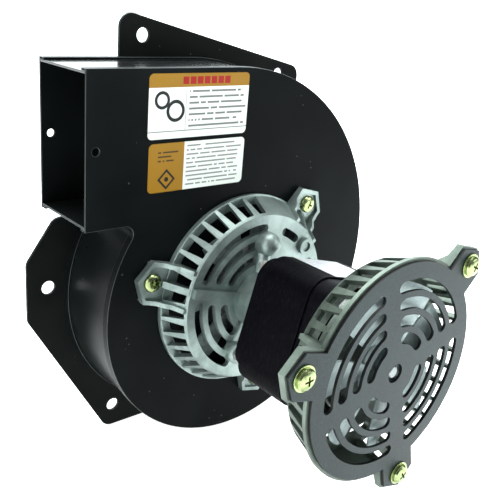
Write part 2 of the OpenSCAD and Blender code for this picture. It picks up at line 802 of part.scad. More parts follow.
// Forward-curved blades between the back plate and the end ring.
module wheel_blades() {
    bend_r = blade_depth * 0.9;
    mid_r = wheel_r - blade_depth / 2 - 0.6;
    color("#a4aaac") motor_view() translate([0, 0, wheel_low_h + sheet])
        linear_extrude(wheel_w - 2 * sheet) for (k = [0:blade_count - 1]) rotate(k * 360 / blade_count)
            translate([mid_r, -bend_r]) intersection() {
                difference() {
                    circle(bend_r);
                    circle(bend_r - 0.8);
                }
                wedge(90 - 32, 90 + 32);
            }
}

module wheel_end_ring() {
    color("#9ea4a6") motor_view() translate([0, 0, wheel_low_h])
        tube(wheel_r, wheel_r - blade_depth - 1, sheet);
}

// A cooling fan of pitched blades on a flat disc, its hub flush with height 0.
module cooling_fan() {
    difference() {
        union() {
            cylinder(r = fan_hub_r, h = fan_h);
            translate([0, 0, fan_h / 2 - 0.8]) cylinder(r = fan_hub_r + 9, h = 1.6);
            for (k = [0:fan_blades - 1]) rotate(fan_turn + k * 360 / fan_blades) intersection() {
                linear_extrude(fan_h) intersection() {
                    difference() {
                        circle(fan_r);
                        circle(fan_hub_r - 2);
                    }
                    wedge(-17, 17);
                }
                translate([0, 0, fan_h / 2]) rotate([17, 0, 0])
                    translate([0, -40, -0.7]) cube([80, 80, 1.4]);
            }
        }
        translate([0, 0, -1]) cylinder(r = fit_r, h = fan_h + 2);
    }
}

module front_cooling_fan() {
    color("#a9b2ad") motor_view() translate([0, 0, fan_low_h]) cooling_fan();
}

module rear_cooling_fan() {
    color("#b4bdb8") motor_view() translate([0, 0, fan_high_h]) mirror([0, 0, 1]) cooling_fan();
}

mounting_plate();
scroll_back_plate();
scroll_wrapper();
scroll_front_plate();
inlet_ring();
motor_gasket();
upper_label();
lower_label();
front_casting();
front_casting_screws();
rear_casting();
stator_core();
coil_bobbins();
coil_windings();
shading_rings();
thermal_protector();
through_bolts();
through_bolt_nuts();
nameplate();
front_bearing();
rear_bearing();
front_felt();
rear_felt();
front_bearing_retainer();
rear_bearing_retainer();
rear_cover();
rear_cover_screws();
rear_cover_washers();
shaft();
rotor_core();
rotor_end_rings();
thrust_washers();
retaining_rings();
wheel_hub();
wheel_back_plate();
wheel_blades();
wheel_end_ring();
wheel_rivets();
wheel_set_screw();
front_cooling_fan();
rear_cooling_fan();
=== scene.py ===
"""Looks for the combustion fan: finishes, painted highlights on rounded edges, laminations, wire turns,
fan and wheel blades.
"""
import json
import math

import bmesh
import bpy
from mathutils import Matrix, Vector

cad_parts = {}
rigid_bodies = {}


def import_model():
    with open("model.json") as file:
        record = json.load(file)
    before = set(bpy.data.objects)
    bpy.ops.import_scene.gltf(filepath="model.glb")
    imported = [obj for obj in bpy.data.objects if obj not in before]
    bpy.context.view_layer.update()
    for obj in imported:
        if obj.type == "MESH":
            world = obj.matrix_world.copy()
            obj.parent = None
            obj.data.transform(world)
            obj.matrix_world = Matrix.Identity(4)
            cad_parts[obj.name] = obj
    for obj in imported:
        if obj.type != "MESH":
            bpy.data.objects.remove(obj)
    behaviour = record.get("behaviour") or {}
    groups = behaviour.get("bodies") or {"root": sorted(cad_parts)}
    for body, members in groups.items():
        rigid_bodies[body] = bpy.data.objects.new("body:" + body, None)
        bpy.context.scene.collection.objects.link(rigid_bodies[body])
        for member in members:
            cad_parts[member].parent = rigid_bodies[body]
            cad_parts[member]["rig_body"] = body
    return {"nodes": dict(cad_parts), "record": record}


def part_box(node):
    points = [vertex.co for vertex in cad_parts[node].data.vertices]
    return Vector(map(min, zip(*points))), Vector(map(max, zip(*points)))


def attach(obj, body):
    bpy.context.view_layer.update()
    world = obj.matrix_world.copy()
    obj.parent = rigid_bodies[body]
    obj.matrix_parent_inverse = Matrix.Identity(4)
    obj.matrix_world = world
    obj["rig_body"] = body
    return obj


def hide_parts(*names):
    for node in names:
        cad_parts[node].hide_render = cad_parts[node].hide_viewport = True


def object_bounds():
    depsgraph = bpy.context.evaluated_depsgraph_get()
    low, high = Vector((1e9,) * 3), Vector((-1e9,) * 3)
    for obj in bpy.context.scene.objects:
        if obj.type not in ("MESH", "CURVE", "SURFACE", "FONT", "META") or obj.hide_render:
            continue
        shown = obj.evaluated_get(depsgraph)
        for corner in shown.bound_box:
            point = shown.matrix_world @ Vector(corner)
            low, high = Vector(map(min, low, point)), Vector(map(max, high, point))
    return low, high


MM = 0.001
# The motor and the wheel are turned by MOTOR_TILT about the shaft, the cooling fans by FAN_START less.
MOTOR_TILT = math.radians(15)
FAN_START = math.radians(34)
FLAT_ANGLE = math.radians(0.4)
SHARP_ANGLE = math.radians(32)
CREASE_ANGLE = math.radians(35)
RING_STEPS = 64
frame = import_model()
nodes = frame["nodes"]
cad_low, cad_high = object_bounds()


# ---- wiring --------------------------------------------------------------------------------------

class Wire:
    """A value on its way from one node to the next, with the operators that work on numbers."""

    def __init__(self, board, socket):
        self.board, self.socket = board, socket

    def sum(self, operation, *others):
        values = dict(enumerate((self,) + others))
        return self.board.node("ShaderNodeMath", {"operation": operation}, values)

    def flipped(self, operation, other):
        return self.board.node("ShaderNodeMath", {"operation": operation}, {0: other, 1: self})

    def __add__(self, other):
        return self.sum("ADD", other)

    def __radd__(self, other):
        return self.sum("ADD", other)

    def __sub__(self, other):
        return self.sum("SUBTRACT", other)

    def __rsub__(self, other):
        return self.flipped("SUBTRACT", other)

    def __mul__(self, other):
        return self.sum("MULTIPLY", other)

    def __truediv__(self, other):
        return self.sum("DIVIDE", other)

    def __rtruediv__(self, other):
        return self.flipped("DIVIDE", other)

    def __pow__(self, other):
        return self.sum("POWER", other)

    def __lt__(self, other):
        return self.sum("LESS_THAN", other)

    def __gt__(self, other):
        return self.sum("GREATER_THAN", other)

    def __abs__(self):
        return self.sum("ABSOLUTE")

    def __mod__(self, other):
        return self.sum("FLOORED_MODULO", other)

    def floor(self):
        return self.sum("FLOOR")

    def root(self):
        return self.sum("SQRT")

    def most(self, other):
        return self.sum("MAXIMUM", other)

    def between(self, low, high):
        """1 where the value is from low to high, 0 elsewhere."""
        return (self > low) * (self < high)

    def soft(self, low, high):
        """Rises smoothly from 0 at low to 1 at high."""
        return self.board.node("ShaderNodeMapRange", {"interpolation_type": "SMOOTHSTEP"},
                               {"Value": self, "From Min": low, "From Max": high})


class Board:
    """A node tree being wired up."""

    def __init__(self, tree):
        self.tree = tree

    def node(self, kind, settings=None, values=None, out=0):
        made = self.tree.nodes.new(kind)
        for key, value in (settings or {}).items():
            if key == "stops":
                ramp = made.color_ramp
                while len(ramp.elements) < len(value):
                    ramp.elements.new(1)
                for element, (place, colour) in zip(ramp.elements, value):
                    element.position, element.color = place, (*colour, 1)
            else:
                setattr(made, key, value)
        for key, value in (values or {}).items():
            socket = made.inputs[key] if isinstance(key, int) else self.pick(made.inputs, key)
            if isinstance(value, Wire):
                self.tree.links.new(value.socket, socket)
            else:
                socket.default_value = value
        return Wire(self, made.outputs[out] if isinstance(out, int) else self.pick(made.outputs, out))

    @staticmethod
    def pick(sockets, key):
        return next(s for s in sockets if key in (s.identifier, s.name) and s.enabled)

    def axes(self, place):
        """The x, y and z of a place, each on its own wire."""
        split = self.node("ShaderNodeSeparateXYZ", values={0: place}).socket.node
        return [Wire(self, split.outputs[i]) for i in range(3)]

    def blend(self, factor, first, second):
        """The first colour where the factor is 0 and the second where it is 1."""
        values = {"Factor_Float": factor}
        for key, colour in (("A_Color", first), ("B_Color", second)):
            values[key] = (*colour, 1) if isinstance(colour, tuple) else colour
        return self.node("ShaderNodeMix", {"data_type": "RGBA"}, values, "Result_Color")


class Finish(Board):
    """A procedural surface, read in object coordinates."""

    def __init__(self, name):
        self.material = bpy.data.materials.new(name)
        self.material.use_nodes = True
        super().__init__(self.material.node_tree)
        self.tree.nodes.clear()
        self.place = self.node("ShaderNodeTexCoord", out="Object")

    def stretched(self, scale):
        """The place with each axis scaled, so that a noise runs in lines."""
        return self.node("ShaderNodeVectorMath", {"operation": "MULTIPLY"}, {0: self.place, 1: scale})

    def noise(self, scale, detail=3, rough=0.55, place=None, warp=0):
        values = {"Vector": place or self.place, "Scale": scale, "Detail": detail, "Roughness": rough,
                  "Distortion": warp}
        return self.node("ShaderNodeTexNoise", values=values)

    def cells(self, scale):
        return self.node("ShaderNodeTexVoronoi", {"feature": "F1"}, {"Vector": self.place, "Scale": scale})

    def relief(self, height, distance):
        values = {"Strength": 1.0, "Distance": distance, "Height": height}
        return self.node("ShaderNodeBump", values=values, out="Normal")

    def surface(self, colour, roughness, metallic=0.0, normal=None, **constants):
        values = {"Base Color": (*colour, 1) if isinstance(colour, tuple) else colour,
                  "Roughness": roughness, "Metallic": metallic}
        if normal is not None:
            values["Normal"] = normal
        values.update({key.replace("_", " "): value for key, value in constants.items()})
        shader = self.node("ShaderNodeBsdfPrincipled", values=values)
        target = self.tree.nodes.new("ShaderNodeOutputMaterial")
        self.tree.links.new(shader.socket, target.inputs["Surface"])
        return self.material


# ---- finishes ------------------------------------------------------------------------------------

def enamel(name, deep, pale, rough, orange=1.0, index=1.32, top=None):
    """Satin stoving enamel: slow tone changes, a fine orange peel, a few dust specks and, where asked,
    a glossy coat near the top."""
    f = Finish(name)
    slow = f.noise(14, 2)
    peel = f.noise(1500, 2, 0.5)
    wave = f.noise(190, 2, 0.5)
    tone = f.blend(slow.soft(0.35, 0.68), deep, pale)
    speck = (f.cells(170) < 0.075) * (f.noise(60, 1) > 0.56)
    tone = f.blend(speck * 0.35, tone, (0.16, 0.18, 0.17))
    gloss = rough + (f.noise(45, 3) - 0.5) * 0.16 + speck * 0.15
    normal = f.relief(peel * 0.55 + wave * 0.9, 0.06 * MM * orange)
    sheen = {}
    if top:
        height = f.axes(f.place)[2]
        sheen = {"Coat_Weight": height.soft(top - 9 * MM, top - 1 * MM), "Coat_Roughness": 0.12}
    return f.surface(tone, gloss, 0.0, normal, IOR=index, **sheen)


def cast(name, deep, pale, rough, metallic=0.72):
    """Tumbled die casting: a soft grain, darker flow marks and small pits."""
    f = Finish(name)
    flow = f.noise(38, 4, 0.6, warp=0.4)
    grain = f.noise(1900, 3, 0.6)
    pit = f.cells(900).soft(0.10, 0.28)
    tone = f.blend(flow.soft(0.3, 0.7), deep, pale)
    tone = f.blend((1 - pit) * 0.35, tone, (0.09, 0.11, 0.10))
    gloss = rough + (flow - 0.5) * 0.18 + (grain - 0.5) * 0.12
    normal = f.relief(grain * 0.7 + pit * 0.5 + f.noise(420, 2) * 1.2, 0.11 * MM)
    return f.surface(tone, gloss, metallic, normal)


def rolled(name, deep, pale, rough, metallic=0.9, along=(1, 0.04, 1), scale=900):
    """Rolled, drawn or turned metal: fine lines along one direction and slow stains."""
    f = Finish(name)
    lines = f.noise(scale, 3, 0.6, f.stretched(along))
    stain = f.noise(55, 3)
    tone = f.blend(lines.soft(0.3, 0.72) * 0.6 + stain * 0.4, deep, pale)
    gloss = rough + (lines - 0.5) * 0.2 + (stain - 0.5) * 0.12
    return f.surface(tone, gloss, metallic, f.relief(lines, 0.03 * MM))


def zinc(name, colours, rough):
    """Passivated zinc plate with a faint change of colour across each head."""
    f = Finish(name)
    drift = f.noise(230, 2, 0.5, warp=0.6)
    tone = f.node("ShaderNodeValToRGB", {"stops": list(zip((0.3, 0.5, 0.7), colours))}, {0: drift})
    scuff = f.noise(1700, 2, 0.6)
    return f.surface(tone, rough + (scuff - 0.5) * 0.2, 1.0, f.relief(scuff, 0.02 * MM))


def fibrous(name, deep, pale, rough, scale=700, depth=0.2 * MM):
    """Felt, pressed fibre and moulded plastic: short matted grain."""
    f = Finish(name)
    mat = f.noise(scale, 5, 0.7, warp=1.2)
    spots = f.cells(scale * 0.8)
    tone = f.blend(mat.soft(0.32, 0.7), deep, pale)
    return f.surface(tone, rough + (mat - 0.5) * 0.12, 0.0, f.relief(mat + spots * 0.3, depth))


def lamination(name):
    """Varnished black sheet iron with rubbed, slightly lighter edges."""
    f = Finish(name)
    rubbed = f.noise(260, 4, 0.65, f.stretched((1, 6, 1)))
    tone = f.blend(rubbed.soft(0.48, 0.78), (0.0022, 0.0022, 0.0032), (0.0085, 0.0085, 0.0110))
    gloss = 0.40 + (f.noise(120, 3) - 0.5) * 0.24
    return f.surface(tone, gloss, 0.0, f.relief(f.noise(1400, 3), 0.04 * MM), IOR=1.09)


def cover_paint(name):
    """Grey satin paint with a fine metallic fleck."""
    f = Finish(name)
    fleck = f.noise(2600, 2, 0.6)
    slow = f.noise(26, 2)
    tone = f.blend(slow.soft(0.3, 0.7), (0.009, 0.018, 0.019), (0.016, 0.029, 0.030))
    tone = f.blend((fleck - 0.5).soft(0.02, 0.3) * 0.5, tone, (0.09, 0.13, 0.13))
    normal = f.relief(fleck + f.noise(300, 2), 0.04 * MM)
    return f.surface(tone, 0.42 + (slow - 0.5) * 0.12, 0.1, normal, IOR=1.30)


def foil(name, node):
    """Etched foil plate: brushed, a little creased, with rows of plain grey bars."""
    f = Finish(name)
    low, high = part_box(node)
    x, y, z = f.axes(f.place)
    brushed = f.noise(1500, 3, 0.6, f.stretched((1, 0.06, 1)))
    crease = f.noise(70, 4, 0.6)
    row_pitch, dash = 3.4 * MM, 1.1 * MM
    row = (y - low.y) / row_pitch
    bar = (row % 1).between(0.35, 0.6) * x.between(low.x + 3 * MM, high.x - 12 * MM)
    cell = f.node("ShaderNodeCombineXYZ", values={0: (x / dash).floor(), 1: row.floor()})
    gap = f.node("ShaderNodeTexWhiteNoise", {"noise_dimensions": "2D"}, {"Vector": cell}) > 0.25
    speckle = f.noise(900, 4, 0.7)
    tone = f.blend(brushed * 0.4 + crease * 0.6, (0.66, 0.71, 0.74), (0.90, 0.92, 0.93))
    tone = f.blend(speckle.soft(0.5, 0.75) * 0.45, tone, (0.34, 0.38, 0.42))
    tone = f.blend(bar * gap * 0.4, tone, (0.40, 0.43, 0.45))
    normal = f.relief(crease * 1.2 + brushed * 0.15, 0.4 * MM)
    return f.surface(tone, 0.34 + (brushed - 0.5) * 0.25, 0.6, normal)


AMBER = (0.29, 0.150, 0.008)
PAPER, AGED_PAPER = (0.80, 0.88, 0.81), (0.72, 0.78, 0.73)
INK = (0.008, 0.009, 0.011)
RED = (0.30, 0.008, 0.004)


def bars(f, u, v, left, right, low, high, count, seed):
    """Rows of plain printed dashes, each row of its own length."""
    dashes, ragged, gaps = 58, 0.10, 0.10
    step = (high - low) / count
    row = ((v - low) / step).floor()
    inside = v.between(low, high) * ((v - low) / step % 1).between(0.30, 0.66)
    reach = f.node("ShaderNodeTexWhiteNoise", {"noise_dimensions": "1D"}, {"W": row + seed})
    place = (u * dashes).floor() + row * 71 + seed
    dash = f.node("ShaderNodeTexWhiteNoise", {"noise_dimensions": "1D"}, {"W": place})
    return inside * (u > left) * (u < right - (1 - reach) * ragged) * (dash > gaps)


def ring(u, v, across, up, radius, width, shape):
    """A plain ring, round whatever the label's proportions are."""
    far = (((u - across) * shape) ** 2 + (v - up) ** 2).root()
    return far.between(radius - width / 2, radius + width / 2)


def printed(name, node, upper):
    """Printed film label: colour blocks, plain dashes and a simple sign, with nothing to read."""
    f = Finish(name)
    low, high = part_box(node)
    x, y, z = f.axes(f.place)
    shape = (high.x - low.x) / (high.z - low.z)
    u, v = (x - low.x) / (high.x - low.x), (z - low.z) / (high.z - low.z)
    paper = f.blend(f.noise(120, 3), PAPER, AGED_PAPER)
    if upper:
        tone = f.blend(v > 0.79, paper, AMBER)
        start, block = 0.31, 0.07
        blocks = u.between(start, start + 7 * block) * ((u - start) / block % 1).between(0.09, 0.91)
        tone = f.blend(v.between(0.835, 0.95) * blocks, tone, RED)
        sign = ring(u, v, 0.125, 0.60, 0.115, 0.05, shape)
        sign = sign.most(ring(u, v, 0.255, 0.43, 0.145, 0.055, shape))
        lines = v.between(0.108, 0.124).most(u.between(0.352, 0.357) * v.between(0.11, 0.79))
        rows = bars(f, u, v, 0.385, 0.985, 0.14, 0.77, 7, 3)
        ink = sign.most(lines * 0.75).most(rows * 0.80)
    else:
        tone = f.blend(u < 0.35, paper, AMBER)
        spread = abs(u - 0.18) * shape + abs(v - 0.26)
        sign = spread.between(0.155, 0.215).most(ring(u, v, 0.18, 0.26, 0.02, 0.06, shape))
        note = bars(f, u, v, 0.09, 0.31, 0.60, 0.86, 3, 11)
        rows = bars(f, u, v, 0.375, 0.975, 0.06, 0.96, 10, 29)
        ink = sign.most(note * 0.85).most(rows * 0.72)
    tone = f.blend(ink, tone, INK)
    film = f.noise(240, 3)
    return f.surface(tone, 0.42 + (film - 0.5) * 0.12, 0.0, f.relief(film, 0.05 * MM), IOR=1.30)


def wire_enamel(name):
    """Varnished copper wire."""
    f = Finish(name)
    varnish = f.noise(330, 3)
    tone = f.blend(varnish.soft(0.3, 0.72), (0.30, 0.10, 0.035), (0.62, 0.27, 0.10))
    gloss = 0.28 + (varnish - 0.5) * 0.16
    return f.surface(tone, gloss, 0.85, f.relief(varnish, 0.1 * MM), Coat_Weight=0.4)


# Colours run from deep to pale, then comes the roughness, then each kind's own values.
finish = {
    "black_paint": enamel("satin_black_enamel", (0.0036, 0.0046, 0.0048), (0.0070, 0.0088, 0.0088),
                          0.34, 1.0, 1.10),
    "wrapper_paint": enamel("glossy_black_enamel", (0.0045, 0.0055, 0.0055), (0.0085, 0.0110, 0.0102),
                            0.30, 0.8, 1.15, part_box("scroll_wrapper")[1].z),
    "plate_paint": enamel("plate_enamel", (0.0042, 0.0054, 0.0050), (0.0078, 0.0098, 0.0090),
                          0.42, 1.0, 1.12),
    # Painted highlight: a lighter enamel on the rounded edges of the sheet parts, standing in for light
    # caught there.
    "enamel_edge_highlight": enamel("rubbed_enamel_edge", (0.016, 0.022, 0.022), (0.07, 0.09, 0.09),
                          0.30, 0.5, 1.4),
    "cast_aluminium": cast("tumbled_casting", (0.165, 0.215, 0.200), (0.36, 0.445, 0.420), 0.40),
    # Painted highlight: a lighter casting finish for the rounded edges and rib tops, standing in for light
    # caught there.
    "cast_edge_highlight": cast("casting_edge", (0.24, 0.30, 0.28), (0.44, 0.52, 0.49), 0.32, 0.8),
    "rear_cast": cast("rear_casting_skin", (0.070, 0.092, 0.076), (0.15, 0.19, 0.16), 0.46),
    # Painted highlight on the rounded edges of the rear casting, much lighter than its skin.
    "rear_edge_highlight": cast("rear_casting_edge", (0.24, 0.30, 0.27), (0.45, 0.52, 0.49), 0.36, 0.8),
    "core_black": lamination("varnished_laminations"),
    "cover_grey": cover_paint("grey_satin_paint"),
    # Painted shade: near-black for the side faces of the cover's slots and rim, in place of the shade on
    # the slot walls.
    "cover_side_shade": enamel("dark_cut_edge", (0.003, 0.004, 0.004), (0.008, 0.010, 0.010), 0.5),
    "yellow_zinc": zinc("yellow_zinc", [(0.21, 0.27, 0.11), (0.36, 0.42, 0.20), (0.27, 0.34, 0.17)],
                        0.24),
    "foil": foil("nameplate_foil", "nameplate"),
    "label_white": printed("upper_label_print", "upper_label", True),
    "label_amber": printed("lower_label_print", "lower_label", False),
    "copper_wire": wire_enamel("varnished_copper"),
    "bare_copper": rolled("bare_copper", (0.55, 0.22, 0.10), (0.86, 0.44, 0.24), 0.26),
    "bobbin_plastic": fibrous("bobbin_plastic", (0.60, 0.56, 0.44), (0.74, 0.70, 0.58),
                              0.5, 500, 0.05 * MM),
    "protector_case": fibrous("protector_case", (0.018, 0.018, 0.020), (0.040, 0.040, 0.045),
                              0.42, 600, 0.05 * MM),
    "zinc_steel": zinc("bright_zinc", [(0.50, 0.52, 0.54), (0.66, 0.68, 0.70), (0.58, 0.62, 0.62)], 0.30),
    "bronze": rolled("oiled_bronze", (0.36, 0.22, 0.09), (0.58, 0.40, 0.19), 0.36),
    "felt": fibrous("wool_felt", (0.46, 0.40, 0.26), (0.74, 0.67, 0.50), 0.95, 900, 0.5 * MM),
    "shaft_steel": rolled("ground_shaft", (0.14, 0.16, 0.16), (0.28, 0.31, 0.31),
                          0.34, 0.9, (0.05, 1, 0.05), 2600),
    "rotor_steel": rolled("turned_rotor", (0.20, 0.205, 0.21), (0.40, 0.41, 0.42),
                          0.34, 0.9, (0.05, 1, 0.05), 1600),
    "rotor_aluminium": cast("rotor_end_casting", (0.50, 0.53, 0.54), (0.72, 0.74, 0.75), 0.38),
    "fibre": fibrous("thrust_fibre", (0.16, 0.08, 0.035), (0.30, 0.17, 0.08), 0.7),
    "aluminised_steel": rolled("aluminised_sheet", (0.34, 0.36, 0.37), (0.56, 0.58, 0.59),
                               0.40, 0.85, (1, 0.2, 1), 500),
    "gasket_fibre": fibrous("gasket_board", (0.10, 0.09, 0.075), (0.22, 0.20, 0.17), 0.85),
    "fan_aluminium": rolled("fan_sheet", (0.32, 0.41, 0.41), (0.50, 0.60, 0.59),
                            0.45, 0.35, (1, 0.3, 1), 380),
    # Painted shade: a darker copy of the fan sheet for the front fan, which sits in the shade of the
    # casting.
    "painted_shade_fan": rolled("dull_fan_sheet", (0.10, 0.135, 0.13), (0.22, 0.28, 0.27),
                       0.5, 0.35, (1, 0.3, 1), 380),
}


# ---- shapes --------------------------------------------------------------------------------------

def piece(name, mesh, body, skins, stands_for):
    """A finished mesh becomes a piece: its place is in its mesh and it rides on its CAD body."""
    made = bpy.data.objects.new(name, mesh)
    bpy.context.scene.collection.objects.link(made)
    places = [face.material_index for face in mesh.polygons]
    mesh.materials.clear()
    for skin in skins:
        mesh.materials.append(finish[skin])
    mesh.polygons.foreach_set("material_index", [min(place, len(skins) - 1) for place in places])
    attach(made, body)
    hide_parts(*stands_for)


def merged(node):
    """A copy of a CAD node's mesh with its doubles merged and its flats in whole faces."""
    mesh = nodes[node].data.copy()
    shape = bmesh.new()
    shape.from_mesh(mesh)
    bmesh.ops.remove_doubles(shape, verts=shape.verts, dist=0.002 * MM)
    bmesh.ops.dissolve_limit(shape, angle_limit=FLAT_ANGLE, verts=shape.verts, edges=shape.edges,
                             delimit={"NORMAL"})
    shape.to_mesh(mesh)
    shape.free()
    return mesh


def settled(host):
    """The host's modifiers turned into a plain mesh, and the host removed."""
    bpy.context.view_layer.update()
    graph = bpy.context.evaluated_depsgraph_get()
    mesh = bpy.data.meshes.new_from_object(host.evaluated_get(graph), preserve_all_data_layers=True,
                                           depsgraph=graph)
    bpy.data.objects.remove(host)
    return mesh


def rounded(mesh, width):
    """Rounds the sharp edges and gives the rounding the second finish."""
    plain, highlight_bevel = 0, 1
    host = bpy.data.objects.new("rounding", mesh)
    bpy.context.scene.collection.objects.link(host)
    for _ in (plain, highlight_bevel):
        mesh.materials.append(None)
    for face in mesh.polygons:
        face.use_smooth = True
        face.material_index = plain
    bevel = host.modifiers.new("edges", "BEVEL")
    bevel.width, bevel.segments = width, 2
    bevel.limit_method, bevel.angle_limit = "ANGLE", SHARP_ANGLE
    bevel.use_clamp_overlap = True
    # On the painted and cast parts this second finish is a lighter painted highlight along the rounded
    # edges.
    bevel.material = highlight_bevel
    weighted = host.modifiers.new("flats", "WEIGHTED_NORMAL")
    weighted.keep_sharp = True
    return settled(host)


def carried(node, width, skins, paint=None):
    """A CAD node with its edges rounded, in its own finish."""
    mesh = rounded(merged(node), width * MM)
    if paint:
        paint(mesh)
    piece(node + "_finished", mesh, nodes[node]["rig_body"], skins, [node])


slots = {s["node"]: s["material_slot"] for s in frame["record"]["subparts"]}
for node, made in nodes.items():
    made.data.materials.clear()
    made.data.materials.append(finish[slots[node]])


def shade_cover_sides(mesh):
    """The side faces of the cover's slots and rim get painted shade: a near-black finish in place of the
    shade on the slot walls.
    """
    face_on, side_on = 0, 1
    for face in mesh.polygons:
        face.material_index = side_on if abs(face.normal.y) < 0.75 else face_on


def dark_bell(mesh):
    """The bell that holds the core is varnished black with it, all but the hub."""
    rear_bell, front_bell, hub_r, black = 12.1 * MM, 7.7 * MM, 18.5 * MM, 2
    low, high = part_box("stator_core")
    for face in mesh.polygons:
        corners = [mesh.vertices[i].co for i in face.vertices]
        beside = all(low.y - rear_bell < c.y < high.y + front_bell for c in corners)
        if beside and max(math.hypot(c.x, c.z) for c in corners) > hub_r:
            face.material_index = black


# The second finish of each painted sheet and casting below is a painted highlight on its rounded edges.
carried("mounting_plate", 0.25, ["plate_paint", "enamel_edge_highlight"])
carried("scroll_back_plate", 0.3, ["black_paint", "enamel_edge_highlight"])
carried("scroll_wrapper", 0.25, ["wrapper_paint", "enamel_edge_highlight"])
carried("scroll_front_plate", 0.3, ["black_paint", "enamel_edge_highlight"])
carried("front_casting", 0.5, ["cast_aluminium", "cast_edge_highlight", "core_black"], paint=dark_bell)
carried("rear_casting", 0.4, ["rear_cast", "rear_edge_highlight", "core_black"], paint=dark_bell)
# The cover's side faces take the second finish, painted shade.
carried("rear_cover", 0.2, ["cover_grey", "cover_side_shade"], paint=shade_cover_sides)
carried("front_casting_screws", 0.14, ["yellow_zinc", "yellow_zinc"])
carried("rear_cover_screws", 0.14, ["yellow_zinc", "yellow_zinc"])
carried("rear_cover_washers", 0.15, ["yellow_zinc", "yellow_zinc"])
carried("through_bolts", 0.2, ["zinc_steel", "zinc_steel"])
carried("through_bolt_nuts", 0.2, ["zinc_steel", "zinc_steel"])
carried("inlet_ring", 0.25, ["aluminised_steel", "aluminised_steel"])
carried("shaft", 0.15, ["shaft_steel", "shaft_steel"])


# ---- repeats -------------------------------------------------------------------------------------

class Pattern(Board):
    """A geometry tree with named inputs, which places copies of one piece."""

    def __init__(self, name):
        super().__init__(bpy.data.node_groups.new(name, "GeometryNodeTree"))
        self.tree.interface.new_socket("Geometry", in_out="OUTPUT", socket_type="NodeSocketGeometry")
        self.names = {}
        for label, kind in (("Piece", "Object"), ("Count", "Int"), ("Finish", "Material")):
            self.ask(label, kind)

    def ask(self, label, kind):
        made = self.tree.interface.new_socket(label, in_out="INPUT", socket_type="NodeSocket" + kind)
        self.names[label] = made.identifier

    def wires(self):
        entry = self.tree.nodes.new("NodeGroupInput")
        return {label: Wire(self, self.pick(entry.outputs, name)) for label, name in self.names.items()}

    def finish(self, copies, skin):
        real = self.node("GeometryNodeRealizeInstances", values={0: copies})
        skinned = self.node("GeometryNodeSetMaterial", values={"Geometry": real, "Material": skin})
        leave = self.tree.nodes.new("NodeGroupOutput")
        self.tree.links.new(skinned.socket, leave.inputs[0])

    def run(self, source, skin, **sizes):
        host = bpy.data.objects.new("pattern", bpy.data.meshes.new("pattern"))
        bpy.context.scene.collection.objects.link(host)
        worker = host.modifiers.new("pattern", "NODES")
        worker.node_group = self.tree
        for label, value in {"Piece": source, "Finish": finish[skin], **sizes}.items():
            worker[self.names[label]] = value
        mesh = settled(host)
        bpy.data.objects.remove(source)
        return mesh


def ring_pattern():
    """Copies turned about the motor axis."""
    p = Pattern("ring_of_copies")
    p.ask("Turn", "Float")
    w = p.wires()
    spots = p.node("GeometryNodePoints", values={"Count": w["Count"]})
    index = p.node("GeometryNodeInputIndex")
    angle = index * (2 * math.pi / w["Count"]) + w["Turn"]
    turned = p.node("ShaderNodeCombineXYZ", values={1: angle})
    shape = p.node("GeometryNodeObjectInfo", values={"Object": w["Piece"]}, out="Geometry")
    places = {"Points": spots, "Instance": shape, "Rotation": turned}
    copies = p.node("GeometryNodeInstanceOnPoints", values=places)
    p.finish(copies, w["Finish"])
    return p


def stack_pattern():
    """Copies side by side along a step, each a hair bigger or smaller than the next."""
    p = Pattern("stack_of_copies")
    p.ask("Step", "Vector")
    p.ask("Shake", "Float")
    p.ask("Seed", "Int")
    w = p.wires()
    spots = p.node("GeometryNodePoints", values={"Count": w["Count"]})
    index = p.node("GeometryNodeInputIndex")
    moved = p.node("ShaderNodeVectorMath", {"operation": "SCALE"}, {"Vector": w["Step"], "Scale": index})
    spots = p.node("GeometryNodeSetPosition", values={"Geometry": spots, "Offset": moved})
    size = p.node("FunctionNodeRandomValue", {"data_type": "FLOAT"},
                  {"Min_001": 1 - w["Shake"], "Max_001": 1.0, "ID": index, "Seed": w["Seed"]}, "Value_001")
    scale = p.node("ShaderNodeCombineXYZ", values={0: size, 1: 1.0, 2: size})
    shape = p.node("GeometryNodeObjectInfo", values={"Object": w["Piece"]}, out="Geometry")
    places = {"Points": spots, "Instance": shape, "Scale": scale}
    copies = p.node("GeometryNodeInstanceOnPoints", values=places)
    p.finish(copies, w["Finish"])
    return p


rings, stacks = ring_pattern(), stack_pattern()


def source(shape):
    """A bmesh as the object that a pattern copies."""
    bmesh.ops.recalc_face_normals(shape, faces=shape.faces)
    mesh = bpy.data.meshes.new("source")
    shape.to_mesh(mesh)
    shape.free()
    made = bpy.data.objects.new("source", mesh)
    bpy.context.scene.collection.objects.link(made)
    return made


